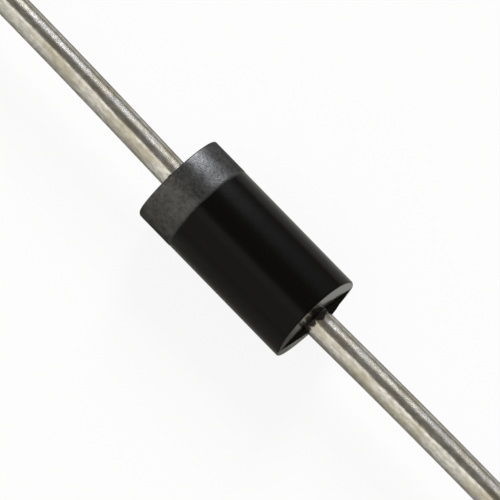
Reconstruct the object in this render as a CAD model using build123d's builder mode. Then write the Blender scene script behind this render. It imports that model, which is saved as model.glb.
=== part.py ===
from build123d import *
import os
from math import radians, tan

os.makedirs("parts", exist_ok=True)

# Axial rectifier diode in the plastic DO-41 outline, in millimetres.
# The origin is the middle of the case. The leads lie along X, with the cathode at -X and
# the anode at +X, and the mould halves part on the XY plane.

# Moulded case
case_diameter = 2.70
case_length = 5.16
end_draft = 2.5
edge_radius = 0.06

# Leads: tinned copper wire with a headed inner end
wire_diameter = 0.79
lead_free_length = 25.40
tip_chamfer = 0.06
head_diameter = 1.60
head_thickness = 0.30
head_rim_radius = 0.05
neck_radius = 0.12
shank_swell = 0.02

# Chip and the solder on both its faces
die_side = 1.10
die_thickness = 0.28
die_metal_margin = 0.06
solder_thickness = 0.05
solder_flare = 40.0

# Silicone bead round the chip
bead_height = 0.16
bead_rim_bare = 0.12

# Printed band
band_width = 1.15
ink_thickness = 0.02

case_radius = case_diameter / 2
wire_radius = wire_diameter / 2
head_radius = head_diameter / 2
die_face_x = die_thickness / 2
head_face_x = die_face_x + solder_thickness
head_back_x = head_face_x + head_thickness
case_end_x = case_length / 2
lead_tip_x = case_end_x + lead_free_length
bead_end_x = head_back_x - bead_rim_bare
die_metal_side = die_side - 2 * die_metal_margin


def drafted_block(left_x, right_x, left_draft, right_draft):
    """Block with end faces that lean in above and below the parting line, by the angles given."""
    half_height = case_diameter
    left_setback = half_height * tan(radians(left_draft))
    right_setback = half_height * tan(radians(right_draft))
    with BuildPart() as block:
        with BuildSketch(Plane.XZ):
            with BuildLine():
                Polyline(
                    (left_x, 0),
                    (left_x + left_setback, half_height),
                    (right_x - right_setback, half_height),
                    (right_x, 0),
                    (right_x - right_setback, -half_height),
                    (left_x + left_setback, -half_height),
                    close=True,
                )
            make_face()
        extrude(amount=case_diameter, both=True)
    return block.part


# Anode lead: drawn wire, upset at its inner end into a flat nail head with a filleted neck.
# The upsetting swells the shank a little, from the case's end plane up to the head.
with BuildPart() as anode_lead:
    with BuildSketch(Plane.XY) as profile:
        with BuildLine():
            Polyline(
                (head_face_x, 0),
                (head_face_x, head_radius),
                (head_back_x, head_radius),
                (head_back_x, wire_radius + shank_swell),
                (case_end_x, wire_radius),
                (lead_tip_x, wire_radius),
                (lead_tip_x, 0),
                close=True,
            )
        make_face()
        back_corners = profile.vertices().filter_by_position(Axis.X, head_back_x, head_back_x)
        tip_corners = profile.vertices().filter_by_position(Axis.X, lead_tip_x, lead_tip_x)
        fillet(back_corners.sort_by(Axis.Y)[0], neck_radius)
        fillet(back_corners.sort_by(Axis.Y)[-1], head_rim_radius)
        chamfer(tip_corners.sort_by(Axis.Y)[-1], tip_chamfer)
    revolve(axis=Axis.X)
anode_lead.part.label = "anode_lead"
export_step(anode_lead.part, "parts/anode_lead.step")

# Cathode lead: the same headed wire, turned to the other end
with BuildPart() as cathode_lead:
    mirror(anode_lead.part, about=Plane.YZ)
cathode_lead.part.label = "cathode_lead"
export_step(cathode_lead.part, "parts/cathode_lead.step")

# Silicon chip: a sawn square between the two nail heads
with BuildPart() as silicon_die:
    with BuildSketch(Plane.YZ):
        Rectangle(die_side, die_side)
    extrude(amount=die_face_x, both=True)
silicon_die.part.label = "silicon_die"
export_step(silicon_die.part, "parts/silicon_die.step")

# Anode solder: wets the metal on the chip and spreads a little towards the nail head
with BuildPart() as anode_solder:
    with BuildSketch(Plane.YZ.offset(die_face_x)):
        Rectangle(die_metal_side, die_metal_side)
    extrude(amount=solder_thickness, taper=-solder_flare)
anode_solder.part.label = "anode_solder"
export_step(anode_solder.part, "parts/anode_solder.step")

# Cathode solder: the same layer on the other face
with BuildPart() as cathode_solder:
    mirror(anode_solder.part, about=Plane.YZ)
cathode_solder.part.label = "cathode_solder"
export_step(cathode_solder.part, "parts/cathode_solder.step")

# The whole bead of silicone, with the chip and the nail heads still in it
with BuildPart() as bead:
    with BuildSketch(Plane.XY):
        with BuildLine():
            ThreePointArc(
                (-bead_end_x, head_radius),
                (0, head_radius + bead_height),
                (bead_end_x, head_radius),
            )
            Polyline(
                (bead_end_x, head_radius),
                (bead_end_x, 0),
                (-bead_end_x, 0),
                (-bead_end_x, head_radius),
            )
        make_face()
    revolve(axis=Axis.X)

# Junction coating: the bead less what it is flowed round
with BuildPart() as junction_coating:
    add(bead.part)
    for held in (anode_lead, cathode_lead, silicon_die, anode_solder, cathode_solder):
        add(held.part, mode=Mode.SUBTRACT)
junction_coating.part.label = "junction_coating"
export_step(junction_coating.part, "parts/junction_coating.step")

# Moulded case: a round body between drafted end faces, with small rounded rims, and with
# its epoxy tight against the leads and the bead
case_ends = drafted_block(-case_end_x, case_end_x, end_draft, end_draft)
with BuildPart() as molded_case:
    with BuildSketch(Plane.XZ):
        Rectangle(2 * case_length, case_radius, align=(Align.CENTER, Align.MIN))
    revolve(axis=Axis.X)
    add(case_ends, mode=Mode.INTERSECT)
    rims = molded_case.edges().filter_by(GeomType.LINE, reverse=True)
    fillet(rims, edge_radius)
    for held in (bead, anode_lead, cathode_lead):
        add(held.part, mode=Mode.SUBTRACT)
molded_case.part.label = "molded_case"
export_step(molded_case.part, "parts/molded_case.step")

# Cathode band: one coat of ink round the cathode end, from the rounded rim inwards
band_ends = drafted_block(-case_end_x + edge_radius, -case_end_x + band_width, end_draft, 0)
with BuildPart() as cathode_band:
    with BuildSketch(Plane.XZ):
        with Locations((0, case_radius)):
            Rectangle(2 * case_length, ink_thickness, align=(Align.CENTER, Align.MIN))
    revolve(axis=Axis.X)
    add(band_ends, mode=Mode.INTERSECT)
cathode_band.part.label = "cathode_band"
export_step(cathode_band.part, "parts/cathode_band.step")
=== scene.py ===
from math import cos, e, pi, radians, sin, tan

import bpy
import numpy as np
from mathutils import Matrix, Vector


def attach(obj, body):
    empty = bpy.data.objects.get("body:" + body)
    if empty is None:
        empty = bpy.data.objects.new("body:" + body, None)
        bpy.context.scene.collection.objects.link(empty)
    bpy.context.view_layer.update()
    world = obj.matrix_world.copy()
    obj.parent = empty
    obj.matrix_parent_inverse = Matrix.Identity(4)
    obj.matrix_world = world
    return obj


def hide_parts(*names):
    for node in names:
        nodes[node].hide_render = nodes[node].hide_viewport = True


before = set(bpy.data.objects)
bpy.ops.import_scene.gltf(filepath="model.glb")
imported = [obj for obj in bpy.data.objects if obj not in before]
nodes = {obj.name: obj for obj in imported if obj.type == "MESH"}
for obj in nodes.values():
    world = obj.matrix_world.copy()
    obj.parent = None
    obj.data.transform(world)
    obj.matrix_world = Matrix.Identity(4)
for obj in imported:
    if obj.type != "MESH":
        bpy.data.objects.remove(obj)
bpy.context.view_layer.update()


# Silicon chip
# A sawn square of silicon with a nickelled face on each side. The saw leaves its four edges
# dull and dark, and the faces are bright. It is soldered between the two nail heads.

class Wire:
    """One output of a shader node. Sums and products of wires and numbers add Math nodes."""

    def __init__(self, finish, socket):
        self.finish = finish
        self.socket = socket

    def math(self, operation, first, second):
        return self.finish.add("ShaderNodeMath", {"operation": operation}, {0: first, 1: second})

    def __add__(self, other):
        return self.math("ADD", self, other)

    def __radd__(self, other):
        return self.math("ADD", other, self)

    def __sub__(self, other):
        return self.math("SUBTRACT", self, other)

    def __rsub__(self, other):
        return self.math("SUBTRACT", other, self)

    def __mul__(self, other):
        return self.math("MULTIPLY", self, other)

    def __rmul__(self, other):
        return self.math("MULTIPLY", other, self)

    def __pow__(self, other):
        return self.math("POWER", self, other)

    def __rpow__(self, other):
        return self.math("POWER", other, self)

    def __abs__(self):
        return self.math("ABSOLUTE", self, 0.0)


class Finish:
    """A material that is put together node by node, from the object's own coordinates in metres."""

    def __init__(self, name):
        self.material = bpy.data.materials.new(name)
        self.material.use_nodes = True
        self.tree = self.material.node_tree
        self.tree.nodes.clear()
        self.place = self.add("ShaderNodeTexCoord", output="Object")
        self.x = self.add("ShaderNodeSeparateXYZ", {}, {0: self.place}, "X")
        self.y = Wire(self, self.x.socket.node.outputs["Y"])
        self.z = Wire(self, self.x.socket.node.outputs["Z"])

    def add(self, kind, settings=None, values=None, output=0):
        """Adds a node, sets it up, feeds its sockets and gives one of its outputs."""
        node = self.tree.nodes.new(kind)
        for key, value in (settings or {}).items():
            setattr(node, key, value)
        for key, value in (values or {}).items():
            if isinstance(value, Wire):
                self.tree.links.new(value.socket, node.inputs[key])
            else:
                node.inputs[key].default_value = value
        return Wire(self, node.outputs[output]) if node.outputs else None

    def off_axis(self):
        """The distance from the X axis."""
        return (self.y * self.y + self.z * self.z) ** 0.5

    def grain(self, per_mm, detail=2.0, drawn=(1.0, 1.0, 1.0), start=0.0):
        """Noise from 0 to 1, with about per_mm grains to the millimetre, drawn out along X, Y or Z."""
        scale = [1000.0 * per_mm / length for length in drawn]
        at = self.add(
            "ShaderNodeMapping",
            {},
            {"Vector": self.place, "Location": (start, start, start), "Scale": scale},
        )
        return self.add("ShaderNodeTexNoise", {}, {"Vector": at, "Scale": 1.0, "Detail": detail})

    def rise(self, value, low, high):
        """0 below low, 1 above high, and a smooth rise between them."""
        return self.add(
            "ShaderNodeMapRange",
            {"interpolation_type": "SMOOTHSTEP"},
            {"Value": value, "From Min": low, "From Max": high},
        )

    def blend(self, share, first, second):
        """The first colour where share is 0, and the second where it is 1.

        The Mix node keeps its two colours in sockets 6 and 7, and gives a colour at output 2.
        """
        colours = {"Factor": share, 6: first, 7: second}
        return self.add("ShaderNodeMix", {"data_type": "RGBA"}, colours, 2)

    def close(self, height=None, depth=1e-6, **sockets):
        """Ends the material in one Principled BSDF, with a bump of height times depth in metres."""
        values = {name.replace("_", " "): value for name, value in sockets.items()}
        if height is not None:
            values["Normal"] = self.add(
                "ShaderNodeBump", {}, {"Height": height, "Distance": depth, "Strength": 1.0}
            )
        skin = self.add("ShaderNodeBsdfPrincipled", {}, values)
        self.add("ShaderNodeOutputMaterial", {}, {"Surface": skin})
        return self.material


def coat(node, material):
    """Gives a CAD node a finished material in place of the one that it was packed with."""
    node.data.materials.clear()
    node.data.materials.append(material)


sawn_edge = (0.075, 0.08, 0.09, 1)
nickel = (0.62, 0.60, 0.55, 1)

silicon = Finish("sawn_silicon")
nickelled = silicon.rise(abs(silicon.x), 0.00012, 0.00014)
saw_marks = silicon.grain(40, drawn=(0.4, 3.0, 3.0))
coat(nodes["silicon_die"], silicon.close(
    Base_Color=silicon.blend(nickelled, sawn_edge, nickel),
    Metallic=0.85,
    Roughness=0.5 - 0.25 * nickelled + 0.1 * saw_marks,
    height=saw_marks,
    depth=1.5e-6,
))


# Solder on both faces of the chip
# A thin layer of soft solder, melted in a furnace between the chip's metal and the nail head.
# It wets the chip's metal and creeps a little way out over the head.

dull_solder = (0.50, 0.50, 0.49, 1)
bright_solder = (0.66, 0.66, 0.64, 1)

solder = Finish("soft_solder")
crystals = solder.grain(14, detail=3)
soft_solder = solder.close(
    Base_Color=solder.blend(crystals, dull_solder, bright_solder),
    Metallic=1.0,
    Roughness=0.28 + 0.2 * crystals,
    height=crystals,
    depth=2e-6,
)
coat(nodes["cathode_solder"], soft_solder)
coat(nodes["anode_solder"], soft_solder)


# Leads
# Two lengths of drawn copper wire, headed like a nail at the inner end and tinned after the
# case is moulded. They are cropped to length last, which bares the copper at the cut.

def rounded(corners, steps=4):
    """A profile through corners (along, radius, cut), each rounded from cut before it to cut past it.

    Between those two points it runs on the parabola that touches both edges:
    (1 - t)(1 - t) start + 2 t (1 - t) corner + t t end. A cut of 0 leaves the corner sharp.
    """
    corners = np.array(corners, float)
    points, cuts = corners[:, :2], corners[:, 2]
    before = np.roll(points, 1, axis=0) - points
    after = np.roll(points, -1, axis=0) - points
    start = points + before * (cuts / np.hypot(*before.T))[:, None]
    end = points + after * (cuts / np.hypot(*after.T))[:, None]
    t = np.linspace(0, 1, steps + 1)[None, :, None]
    curve = (1 - t) ** 2 * start[:, None] + 2 * t * (1 - t) * points[:, None] + t ** 2 * end[:, None]
    keep = np.ones(curve.shape[:2], bool)
    keep[cuts == 0, 1:] = False
    return curve[keep]


def skin(name, points, poles=False):
    """A closed piece from points[row, column, xyz] in millimetres.

    Columns run round the piece and join up. Rows join up too, like a ring's, unless poles is
    set: then the first and last rows close on a point on the axis, at their own mean.
    """
    rows, columns = points.shape[:2]
    index = np.arange(rows * columns).reshape(rows, columns)
    beside = np.roll(index, -1, axis=1)
    last = rows - 1 if poles else rows
    above, above_beside = np.roll(index, -1, axis=0), np.roll(beside, -1, axis=0)
    quads = np.stack([index, beside, above_beside, above], axis=-1)[:last].reshape(-1, 4)
    places = points.reshape(-1, 3)
    faces = quads.tolist()
    if poles:
        places = np.vstack([places, points[0].mean(0), points[-1].mean(0)])
        first, final = np.full(columns, len(places) - 2), np.full(columns, len(places) - 1)
        faces += np.stack([beside[0], index[0], first], axis=-1).tolist()
        faces += np.stack([index[-1], beside[-1], final], axis=-1).tolist()
    mesh = bpy.data.meshes.new(name)
    mesh.from_pydata((places * 0.001).tolist(), [], faces)
    mesh.shade_smooth()
    piece = bpy.data.objects.new(name, mesh)
    bpy.context.scene.collection.objects.link(piece)
    return piece


def fit(piece, node, material):
    """The piece rides with the body, stands for its CAD node and takes its finish."""
    piece.data.materials.append(material)
    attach(piece, "root")
    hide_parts(node)


# Places along X from the middle of the diode, and radii, in millimetres.
case_end = 2.58
head_face = 0.19
head_back = 0.49
head_radius = 0.80
shank_radius = 0.415
wire_radius = 0.395
lead_tip = 27.98
tip_chamfer = 0.06
pole_radius = 0.02

lead_profile = rounded([
    (head_face, pole_radius, 0),
    (head_face, head_radius, 0.015),
    (head_back, head_radius, 0.05),
    (head_back, shank_radius, 0.12),
    (case_end, wire_radius, 0),
    *[(along, wire_radius, 0) for along in np.geomspace(2.8, 26, 24)],
    (lead_tip - tip_chamfer, wire_radius, 0.012),
    (lead_tip, wire_radius - tip_chamfer, 0.012),
    (lead_tip, pole_radius, 0),
])


def bowed(profile, turn, sideways, upwards):
    """The profile swung round X, on a wire that handling has bowed by less than a tenth of its width.

    With u the distance past x = 2.6, its axis moves by 0.018 u exp(-(u / 9)(u / 9)) along the
    direction (sideways, upwards), so it is straight again at the tip.
    """
    along, radius = profile.T[:, :, None]
    u = np.clip(along - 2.6, 0, None)
    bow = 0.018 * u * np.exp(-(u / 9) ** 2)
    y = bow * sideways + radius * np.cos(turn)
    z = bow * upwards + radius * np.sin(turn)
    return np.stack([along + 0 * turn, y, z], axis=-1)


# The cathode wire is turned half round Z. Its own bow is set the other way, so both bow to +Y.
half_turn = (-1, -1, 1)
turn = np.linspace(0, 2 * pi, 128, endpoint=False)
anode_wire = skin("anode_wire", bowed(lead_profile, turn, 0.95, 0.31), poles=True)
cathode_points = bowed(lead_profile, turn, -0.95, 0.31) * half_turn
cathode_wire = skin("cathode_wire", cathode_points, poles=True)

pore_tin = (0.50, 0.485, 0.455, 1)
bright_tin = (0.715, 0.70, 0.67, 1)
stained_tin = (0.40, 0.355, 0.25, 1)
# Dark colour of the collar where the wire leaves the case: partly resin bled from the mould, partly a
# painted reflection of the black end face in the tin.
resin_and_painted_reflection = (0.024, 0.015, 0.009, 1)
bare_copper = (0.72, 0.35, 0.20, 1)

tin = Finish("tinned_copper")
pores = tin.rise(tin.grain(11, detail=4, drawn=(2, 1, 1)), 0.33, 0.67)
draw_lines = tin.grain(24, detail=1, drawn=(60, 1, 1))
waves = tin.grain(1.8, detail=1, drawn=(4, 1, 1), start=3.0)
dimples = tin.grain(5, detail=3, drawn=(2.5, 1, 1), start=6.0)
stain = tin.rise(tin.grain(2.6, detail=5, drawn=(2.5, 1, 1), start=8.0), 0.42, 0.66)
in_cut = 1 - tin.rise(tin.off_axis(), 0.00033, 0.00036)
cut_end = tin.rise(abs(tin.x), 0.02796, 0.02797) * in_cut
# The collar takes the wire's first 0.35 mm or so past the end face, with a ragged edge, and turns it
# dark and mostly unmetallic: partly real resin bleed, partly the case's dark reflection painted onto
# the wire.
collar_edge_noise = tin.grain(4.5, detail=3, start=2.0)
at_case = 1 - tin.rise(abs(tin.x) - 0.0006 * collar_edge_noise, 0.00235, 0.00239)
plated = tin.blend(pores, pore_tin, bright_tin)
stained = tin.blend(0.6 * stain, plated, stained_tin)
collared_with_painted_reflection = tin.blend(0.95 * at_case, stained, resin_and_painted_reflection)
tinned_copper = tin.close(
    Base_Color=tin.blend(cut_end, collared_with_painted_reflection, bare_copper),
    Metallic=1.0 - 0.7 * at_case,
    Specular_Tint=(0.4, 0.4, 0.4, 1),
    Roughness=0.20 + 0.03 * stain,
    height=0.03 * draw_lines + 4.0 * waves + 1.6 * dimples,
    depth=5.0e-6,
)
fit(anode_wire, "anode_lead", tinned_copper)
fit(cathode_wire, "cathode_lead", tinned_copper)


# Junction coating
# A bead of milky silicone, flowed round the chip and the rims of the nail heads and cured
# there. It keeps the epoxy off the chip's edge.

clear_silicone = (0.72, 0.70, 0.66, 1)
milky_silicone = (0.84, 0.83, 0.80, 1)

silicone = Finish("cured_silicone")
milk = silicone.grain(3, detail=3)
coat(nodes["junction_coating"], silicone.close(
    Base_Color=silicone.blend(milk, clear_silicone, milky_silicone),
    Roughness=0.32 + 0.1 * milk,
    Transmission_Weight=0.25,
    height=milk,
    depth=4e-6,
))


# Moulded case
# Black epoxy, moulded in two half-round cavities over the coated stack. The halves part on the
# XY plane, which leaves a hair of flash along the barrel and lets both end faces lean inwards.

case_radius = 1.35
draft = 2.5

# From the collar of resin round the wire, up the end face to the barrel.
anode_end = [
    (2.61, 0.396, 0),
    (2.588, 0.41, 0.01),
    (case_end, 0.46, 0.01),
    *[(case_end, radius, 0) for radius in (0.60, 0.75, 0.90, 1.05, 1.20)],
    (case_end, case_radius, 0.055),
]
# Inside, from the middle of the silicone bead to the neck of the nail head.
hollow = [
    (0.09, 0.950, 0),
    (0.19, 0.918, 0),
    (0.28, 0.868, 0),
    (0.37, head_radius, 0),
    (head_back, head_radius, 0.04),
    (head_back, shank_radius, 0.12),
]


def mirrored(corners):
    """The same corners at the cathode end, in reverse order."""
    return [(-along, radius, cut) for along, radius, cut in corners[::-1]]


outside = anode_end + [(0.0, case_radius, 0)] + mirrored(anode_end)
inside = mirrored(hollow) + [(0.0, 0.960, 0)] + hollow
case_profile = rounded(outside + inside, steps=8)


def drafted(profile, turns):
    """The profile swung round X, with its ends leaning in above and below z = 0.

    A point at x moves towards the middle by abs(z) tan(draft), in full at the end faces, less
    inside them and not at all within a millimetre of the middle. In place of abs(z) stands
    hypot(z, 0.012) - 0.012, which softens the ridge at z = 0.
    """
    x, r = profile.T[:, :, None]
    y, z = -r * np.cos(turns), r * np.sin(turns)
    lean = (np.hypot(z, 0.012) - 0.012) * tan(radians(draft))
    share = np.clip((np.abs(x) - 1.0) / (case_end - 1.0), 0, 1)
    return np.stack([x - np.sign(x) * lean * share, y, z], axis=-1)


def webbed(points):
    """Adds the flash that stands out of both end faces, where the mould halves part beside the lead.

    It is 0.03 mm thick at z = 0. It is highest at the lead, and falls in a straight line to
    nothing at the rim: (1.27 - abs(y)) / 0.87. Two sines along y make its edge ragged.
    """
    x, y, z = points[..., 0], points[..., 1], points[..., 2]
    highest = np.where(x > 0, np.where(y > 0, 0.185, 0.12), 0.05)
    falling = np.clip((1.27 - np.abs(y)) / 0.87, 0, 1)
    ragged = 1 + 0.03 * np.sin(21 * y + 1) + 0.03 * np.sin(57 * y)
    thin = np.clip((0.021 - np.abs(z)) / 0.009, 0, 1)
    on_face = np.clip((np.abs(x) - 2.5) / 0.05, 0, 1) * (np.hypot(y, z) < 1.34)
    stands_out = np.sign(x) * highest * falling * ragged * thin * on_face
    return np.stack([x + stands_out, y, z], axis=-1)


# The columns crowd towards the parting line, where the flash needs them.
even = np.linspace(0, 2 * pi, 384, endpoint=False)
turns = even - 0.42 * np.sin(2 * even)
case_skin = skin("case", webbed(drafted(case_profile, turns)))

black_resin = (0.0028, 0.0026, 0.0024, 1)
filler_grain = (0.014, 0.0130, 0.0115, 1)

epoxy = Finish("black_epoxy")
cloud = epoxy.grain(1.3, detail=3)
mould_grain = epoxy.grain(24, detail=2)
filler = epoxy.rise(epoxy.grain(45, detail=1, start=5.0), 0.66, 0.80)
# A bell across the parting line, which falls to 1 / e at 0.017 mm from it.
flash = e ** (-3.6e9 * epoxy.z * epoxy.z)
# The mould is polished at the end faces, and less so towards their -Y rim.
on_end_face = 1 - epoxy.rise(epoxy.off_axis(), 0.00128, 0.00133)
gloss = on_end_face * epoxy.rise(epoxy.y, -0.00105, -0.00055)
black_epoxy = epoxy.close(
    Base_Color=epoxy.blend(filler, black_resin, filler_grain),
    Roughness=0.15 + 0.08 * cloud + 0.04 * mould_grain,
    Specular_IOR_Level=0.105,
    Coat_Weight=0.7 * gloss,
    Coat_Roughness=0.12,
    Coat_IOR=1.4,
    height=0.5 * mould_grain + 1.5 * cloud + 4.0 * flash,
    depth=1.0e-6,
)
fit(case_skin, "molded_case", black_epoxy)


# Cathode band
# One coat of silver-grey ink, rolled on round the cathode end and just over its rounded rim. It
# thins out at its inner edge and is mottled, because the ink skips on the epoxy's grain.

band_section = rounded([
    (-2.570, 1.290, 0),
    (-2.584, 1.300, 0.003),
    (-2.584, 1.357, 0.055),
    (-2.00, 1.358, 0),
    (-1.47, 1.358, 0.03),
    (-1.43, 1.349, 0.003),
    (-1.44, 1.340, 0),
    (-2.00, 1.340, 0),
    (-2.51, 1.340, 0.05),
])
band_points = drafted(band_section[::-1], turns)
# Three sines round the case make the inner edge waver. The rim end stays put.
towards_inner = np.clip((band_points[:, :, 0] + 2.2) / 0.7, 0, 1)
waver = 0.012 * np.sin(3 * turns + 1.0) + 0.007 * np.sin(8 * turns + 2.0)
waver = waver + 0.004 * np.sin(19 * turns)
band_points[:, :, 0] += towards_inner * waver
band_skin = skin("printed_band", band_points)

dark_ink = (0.054, 0.054, 0.052, 1)
light_ink = (0.114, 0.114, 0.117, 1)
skipped_ink = (0.02, 0.02, 0.019, 1)
epoxy_through_ink = (0.005, 0.005, 0.005, 1)

ink = Finish("band_ink")
blotches = ink.rise(ink.grain(4.5, detail=5), 0.32, 0.68)
speckle = ink.rise(ink.grain(13, detail=3, start=2.0), 0.3, 0.7)
skips = ink.rise(ink.grain(9, detail=4, start=7.0), 0.58, 0.72)
thin_edge = ink.rise(ink.x + 0.00005 * speckle, -0.00149, -0.00138)
grey = ink.blend(0.5 * blotches + 0.5 * speckle, dark_ink, light_ink)
skipped = ink.blend(0.35 * skips, grey, skipped_ink)
band_ink = ink.close(
    Base_Color=ink.blend(0.8 * thin_edge, skipped, epoxy_through_ink),
    Metallic=0.75 - 0.6 * thin_edge,
    Specular_Tint=(0.15, 0.15, 0.15, 1),
    Roughness=0.34 + 0.06 * speckle,
    height=0.5 * speckle + 0.6 * blotches,
    depth=2.5e-6,
)
fit(band_skin, "cathode_band", band_ink)


# Floor
# A sheet of faintly warm white paper, which the diode lies on by its band. Seen directly it
# glows an even white, like a cut-out picture's ground, and it still takes a faint shadow.

floor_reach = 2.6
floor_level = -0.00136
warm_white = (0.69, 0.68, 0.63, 1)
lighter_fibre = (0.73, 0.72, 0.67, 1)
even_white = (0.994, 0.995, 1.0, 1)

paper = Finish("white_paper")
fibres = paper.grain(0.5, detail=3)
fibre_colour = paper.blend(fibres, warm_white, lighter_fibre)
lit = paper.add("ShaderNodeBsdfDiffuse", {}, {"Color": fibre_colour})
white = paper.add("ShaderNodeEmission", {}, {"Color": even_white, "Strength": 1.045})
camera_ray = paper.add("ShaderNodeLightPath", output="Is Camera Ray")
glossy_ray = Wire(paper, camera_ray.socket.node.outputs["Is Glossy Ray"])
through_ray = Wire(paper, camera_ray.socket.node.outputs["Is Transmission Ray"])
share = 0.86 * camera_ray + 0.10 * glossy_ray + 0.86 * through_ray
backdrop = paper.add("ShaderNodeMixShader", {}, {0: share, 1: lit, 2: white})
paper.add("ShaderNodeOutputMaterial", {}, {"Surface": backdrop})
floor_mesh = bpy.data.meshes.new("floor")
corners = [
    (-floor_reach, -floor_reach, floor_level),
    (floor_reach, -floor_reach, floor_level),
    (floor_reach, floor_reach, floor_level),
    (-floor_reach, floor_reach, floor_level),
]
floor_mesh.from_pydata(corners, [], [(0, 1, 2, 3)])
floor_mesh.materials.append(paper.material)
floor = bpy.data.objects.new("floor", floor_mesh)
bpy.context.scene.collection.objects.link(floor)


# Light
# Soft boxes round the table. Their places are angles about the diode: round is measured from
# the camera's side towards +Y, and along is measured from there towards +X.

view_lean = radians(18)
camera_side = Vector((0, -sin(view_lean), cos(view_lean)))
camera_right = Vector((0, cos(view_lean), sin(view_lean)))
diode_axis = Vector((1, 0, 0))
lamp_distance = 1.5
watts_per_square_metre = 4.0


def soft_box(name, round_angle, along_angle, round_width, along_width, glow, colour):
    """A flat lamp that faces the diode. Its widths are the angles that it fills.

    Its power is glow times its area times the watts that a glow of 1 gives to the square metre.
    """
    a, b = radians(round_angle), radians(along_angle)
    across = cos(a) * camera_side + sin(a) * camera_right
    outward = cos(b) * across + sin(b) * diode_axis
    along_axis = -sin(b) * across + cos(b) * diode_axis
    round_axis = outward.cross(along_axis)
    lamp = bpy.data.lights.new(name, "AREA")
    lamp.shape = "RECTANGLE"
    lamp.size = 2 * lamp_distance * tan(radians(along_width / 2))
    lamp.size_y = 2 * lamp_distance * tan(radians(round_width / 2))
    lamp.energy = glow * lamp.size * lamp.size_y * watts_per_square_metre
    lamp.color = colour
    box = bpy.data.objects.new(name, lamp)
    turned = Matrix((along_axis, round_axis, outward)).transposed().to_4x4()
    box.matrix_world = Matrix.Translation(outward * lamp_distance) @ turned
    box.visible_camera = False
    bpy.context.scene.collection.objects.link(box)


soft_box("low_box", -47, -8.8, 78, 90, 0.60, (0.985, 0.965, 0.87))
soft_box("edge_box", -18, -8.8, 18, 80, 0.24, (1.0, 0.98, 0.93))
soft_box("strip_box", 68, -8.8, 50, 70, 0.15, (0.97, 0.98, 1.0))
soft_box("key_box", 69, -25, 30, 14, 17.0, (0.95, 0.975, 1.03))

dim_room = (0.20, 0.19, 0.165, 1)
world = bpy.data.worlds.new("studio")
bpy.context.scene.world = world
world.use_nodes = True
world.node_tree.nodes["Background"].inputs["Color"].default_value = dim_room


# Camera
# It looks down on the diode from 18 degrees to the -Y side, with the anode end 9.4 degrees
# nearer. The diode's axis runs down to the right, 45.7 degrees below level.

tilt, roll = radians(9.4), radians(45.71)
toward = cos(tilt) * camera_side + sin(tilt) * diode_axis
down_axis = cos(tilt) * diode_axis - sin(tilt) * camera_side
right = cos(roll) * down_axis + sin(roll) * camera_right
up = cos(roll) * camera_right - sin(roll) * down_axis

# The picture's middle lies a few pixels off the middle of the case. 39 pixels span a millimetre.
pixel = 0.001 / 39
aim = (right * 4 - up * 2 - down_axis * 0.8 + camera_right * 0.3) * pixel
camera_distance = 0.4274

lens = bpy.data.cameras.new("long_lens")
lens.lens = 1200
lens.sensor_width = 36
lens.clip_start = 0.01
lens.clip_end = 4
camera = bpy.data.objects.new("long_lens", lens)
facing = Matrix((right, up, toward)).transposed().to_4x4()
camera.matrix_world = Matrix.Translation(aim + toward * camera_distance) @ facing
bpy.context.scene.collection.objects.link(camera)
bpy.context.scene.camera = camera
bpy.context.scene.view_settings.view_transform = "Standard"
